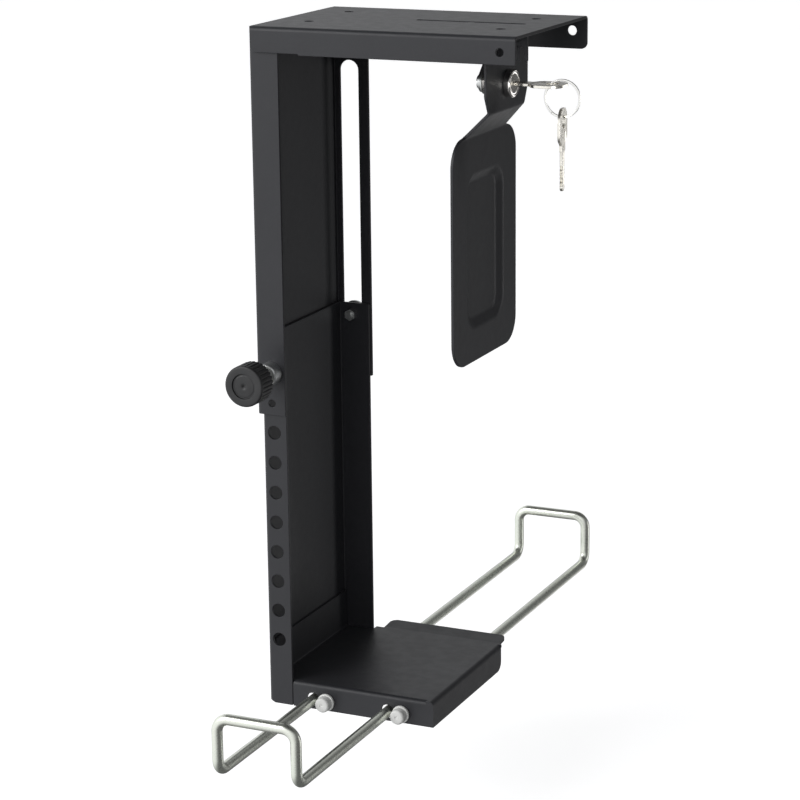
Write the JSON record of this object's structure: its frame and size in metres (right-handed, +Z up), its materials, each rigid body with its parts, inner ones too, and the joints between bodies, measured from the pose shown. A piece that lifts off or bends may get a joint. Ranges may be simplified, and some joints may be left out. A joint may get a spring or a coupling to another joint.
{
  "type": "cpu holder",
  "caption": "Under-desk computer holder: top plate, telescopic side post with pin knob, tray with sliding wire brackets, and a side clamp arm with cam lock and keys.",
  "frame": {"origin": "centre of the top plate's upper face, which lies against the underside of a desk", "axes": "+X along the plate from the post towards the lock, -Y to the front, +Z up towards the desk"},
  "size_m": [0.1977, 0.474, 0.444],
  "materials": {
    "powder_black": "satin powder coat",
    "zinc_wire": "bright zinc plate",
    "nickel_lock": "nickel plate",
    "nickel_key": "nickel-plated brass",
    "brass": "satin",
    "zinc_screw": "zinc plate",
    "white_cap": "matt",
    "black_plastic": "fine texture",
    "nylon": "matt"
  },
  "bodies": {
    "frame": {"top_plate": "powder_black", "upper_post": "powder_black", "slide_keeper": "powder_black", "lock_rack": "powder_black", "knob_boss": "zinc_screw"},
    "lower_frame": {"lower_post": "powder_black", "base_tray": "powder_black", "rod_guide": "powder_black", "guide_sleeve": "nylon", "guide_screw": "zinc_screw", "guide_nut": "zinc_screw"},
    "front_bracket": {"front_wire": "zinc_wire", "front_wire_caps": "white_cap"},
    "rear_bracket": {"rear_wire": "zinc_wire", "rear_wire_caps": "white_cap"},
    "clamp": {"clamp_arm": "powder_black", "guide_stud": "powder_black", "lock_housing": "nickel_lock", "lock_nut": "zinc_screw"},
    "lock_core": {"lock_plug": "nickel_lock", "wafer_tumblers": "brass", "stop_washer": "nickel_lock", "lock_cam": "zinc_screw", "cam_screw": "zinc_screw"},
    "key_body": {"key": "nickel_key"},
    "ring_body": {"key_ring": "nickel_lock"},
    "spare_key_body": {"spare_key": "nickel_key"},
    "washer_body": {"knob_washer": "nylon"},
    "knob": {"knob_stud": "zinc_screw", "knob_head": "black_plastic", "knob_cap": "black_plastic"}
  },
  "joints": [
    {"name": "height_slide", "type": "slide", "parent": "frame", "child": "lower_frame", "axis": [0, 0, 1], "range_m": [0, 0.16]},
    {"name": "width_slide", "type": "slide", "parent": "frame", "child": "clamp", "axis": [1, 0, 0], "range_m": [-0.034, 0.034]},
    {"name": "front_bracket_slide", "type": "slide", "parent": "lower_frame", "child": "front_bracket", "axis": [0, 1, 0], "range_m": [0, 0.12]},
    {"name": "rear_bracket_slide", "type": "slide", "parent": "lower_frame", "child": "rear_bracket", "axis": [0, 1, 0], "range_m": [-0.2, 0]},
    {"name": "knob_feed", "type": "slide", "parent": "frame", "child": "washer_body", "axis": [0, 1, 0], "range_m": [0, 0.005]},
    {"name": "knob_turn", "type": "hinge", "parent": "washer_body", "child": "knob", "pos_m": [-0.0794, -0.08, -0.2194], "axis": [0, 1, 0], "range_deg": [0, 1440]},
    {"name": "lock_turn", "type": "hinge", "parent": "clamp", "child": "lock_core", "pos_m": [0.05, 0.0035, -0.0366], "axis": [1, 0, 0], "range_deg": [0, 90]},
    {"name": "key_pull", "type": "slide", "parent": "lock_core", "child": "key_body", "axis": [1, 0, 0], "range_m": [0, 0.024]},
    {"name": "ring_swing", "type": "hinge", "parent": "key_body", "child": "ring_body", "pos_m": [0.0931, 0.0035, -0.0332], "axis": [1, 0, 0], "range_deg": [-15, 15]},
    {"name": "spare_key_swing", "type": "hinge", "parent": "ring_body", "child": "spare_key_body", "pos_m": [0.0931, 0.0035, -0.0558], "axis": [1, 0, 0], "range_deg": [-25, 25]}
  ],
  "couplings": [
    {"joint": "knob_feed", "follows": "knob_turn", "m_per_rad": 0.00019894}
  ]
}
